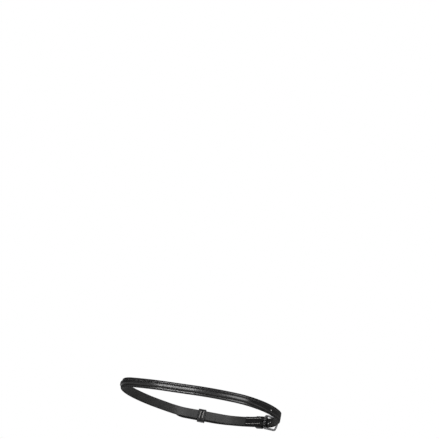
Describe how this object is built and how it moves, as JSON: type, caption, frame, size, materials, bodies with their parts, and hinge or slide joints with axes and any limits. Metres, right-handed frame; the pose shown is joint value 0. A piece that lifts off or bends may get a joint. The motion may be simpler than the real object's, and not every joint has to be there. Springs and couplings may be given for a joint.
{
  "type": "flash strap of a bridle noseband",
  "caption": "Narrow leather strap with a steel buckle, buckled into a ring that closes round a horse's muzzle below the noseband; keepers hold its pointed end.",
  "frame": {"origin": "middle of the strap's flat inner face over the nose, where the noseband's loop holds it", "axes": "+X along the ring's long side towards the buckle, +Y from the nose to the chin, +Z across the strap's width, up the nose"},
  "size_m": [0.2253, 0.1294, 0.0204],
  "materials": {
    "leather": "smooth dyed leather, satin, with a fine grain and burnished edges",
    "keeper_leather": "smooth dyed leather, satin",
    "steel": "polished stainless steel",
    "thread": "waxed twisted thread, grey"
  },
  "bodies": {
    "strap_body": {"strap": "leather", "fixed_keeper": "keeper_leather", "chape_stitches_upper": "thread", "chape_stitches_lower": "thread"},
    "runner": {"runner_keeper": "keeper_leather", "runner_stitch_left": "thread", "runner_stitch_right": "thread"},
    "frame": {"buckle_frame": "steel"},
    "tongue": {"buckle_tongue": "steel"}
  },
  "joints": [
    {"name": "runner_slide", "type": "slide", "parent": "strap_body", "child": "runner", "axis": [-0.9938, 0.1115, 0], "range_m": [-0.025, 0.0155]},
    {"name": "buckle_hinge", "type": "hinge", "parent": "strap_body", "child": "frame", "pos_m": [0.1388, 0.06661, 0], "axis": [0, 0, 1], "range_deg": [-20, 0]},
    {"name": "tongue_hinge", "type": "hinge", "parent": "strap_body", "child": "tongue", "pos_m": [0.1388, 0.06661, 0], "axis": [0, 0, 1], "range_deg": [0, 6]}
  ]
}
